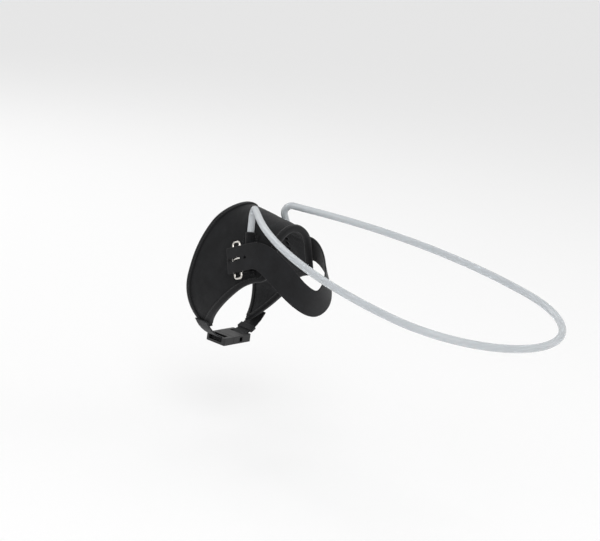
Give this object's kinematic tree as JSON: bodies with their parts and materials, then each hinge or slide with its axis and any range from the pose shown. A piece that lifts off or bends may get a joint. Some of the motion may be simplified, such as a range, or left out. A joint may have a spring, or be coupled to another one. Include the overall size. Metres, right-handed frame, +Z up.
{
  "type": "elizabethan collar",
  "caption": "Halo guard harness for a small blind dog: clear bumper hoop held in sleeves on a padded black yoke with chest and girth straps.",
  "frame": {"origin": "centre of the neck opening, where the wearer's neck holds the yoke up", "axes": "+Z up, the wearer faces -Y with the hoop in front, the wearer's right side is -X"},
  "size_m": [0.2462, 0.4544, 0.1761],
  "materials": {
    "clear_tube": "milky translucent, smooth",
    "core_rod": "pale grey, smooth",
    "cap_rubber": "matt",
    "shell_fabric": "matt woven, fine grain",
    "foam": "open cell, matt",
    "mesh_lining": "knitted mesh",
    "binding_tape": "ribbed tape, slight sheen",
    "sleeve_fabric": "woven, matt",
    "webbing": "woven webbing",
    "nickel": "bright nickel plate",
    "clip_plastic": "moulded, fine grain",
    "elastic": "ribbed elastic"
  },
  "bodies": {
    "yoke": {"yoke_outer_shell": "shell_fabric", "yoke_foam": "foam", "yoke_mesh_lining": "mesh_lining", "yoke_edge_binding": "binding_tape", "sleeve_left": "sleeve_fabric", "sleeve_right": "sleeve_fabric", "sleeve_patch_left": "sleeve_fabric", "sleeve_patch_right": "sleeve_fabric", "buckle_tab_left": "webbing", "buckle_tab_right": "webbing", "buckle_frame_left": "nickel", "buckle_frame_right": "nickel", "chest_strap": "webbing", "girth_strap_left": "webbing", "girth_strap_right": "webbing", "girth_clip_female": "clip_plastic", "girth_keeper": "elastic"},
    "hoop": {"hoop_tube": "clear_tube", "hoop_core_wire": "core_rod", "hoop_end_cap_left": "cap_rubber", "hoop_end_cap_right": "cap_rubber"},
    "roller_left": {"buckle_roller_left": "nickel"},
    "roller_right": {"buckle_roller_right": "nickel"},
    "tongue_left": {"buckle_tongue_left": "nickel"},
    "tongue_right": {"buckle_tongue_right": "nickel"},
    "girth_male": {"girth_clip_male": "clip_plastic", "girth_clip_arms": "clip_plastic"}
  },
  "joints": [
    {"name": "hoop_lift", "type": "slide", "parent": "yoke", "child": "hoop", "axis": [0, 0, 1], "range_m": [0, 0.05], "deforming": ["sleeve_left", "sleeve_right", "sleeve_patch_left", "sleeve_patch_right", "chest_strap"]},
    {"name": "tongue_right_hinge", "type": "hinge", "parent": "yoke", "child": "tongue_right", "pos_m": [-0.04936, -0.01164, 0.01787], "axis": [-0.2288, -0.4527, -0.8618], "range_deg": [0, 75]},
    {"name": "tongue_left_hinge", "type": "hinge", "parent": "yoke", "child": "tongue_left", "pos_m": [0.04936, -0.01164, 0.01787], "axis": [-0.2288, 0.4527, 0.8618], "range_deg": [0, 75]},
    {"name": "roller_right_spin", "type": "hinge", "parent": "yoke", "child": "roller_right", "pos_m": [-0.04757, -0.01963, 0.0216], "axis": [0.2288, 0.4527, 0.8618], "continuous": true},
    {"name": "roller_left_spin", "type": "hinge", "parent": "yoke", "child": "roller_left", "pos_m": [0.04757, -0.01963, 0.0216], "axis": [-0.2288, 0.4527, 0.8618], "continuous": true},
    {"name": "girth_clip_release", "type": "slide", "parent": "yoke", "child": "girth_male", "axis": [-1, 0, 0], "range_m": [0, 0.024], "deforming": ["girth_strap_right", "girth_clip_arms"]}
  ]
}
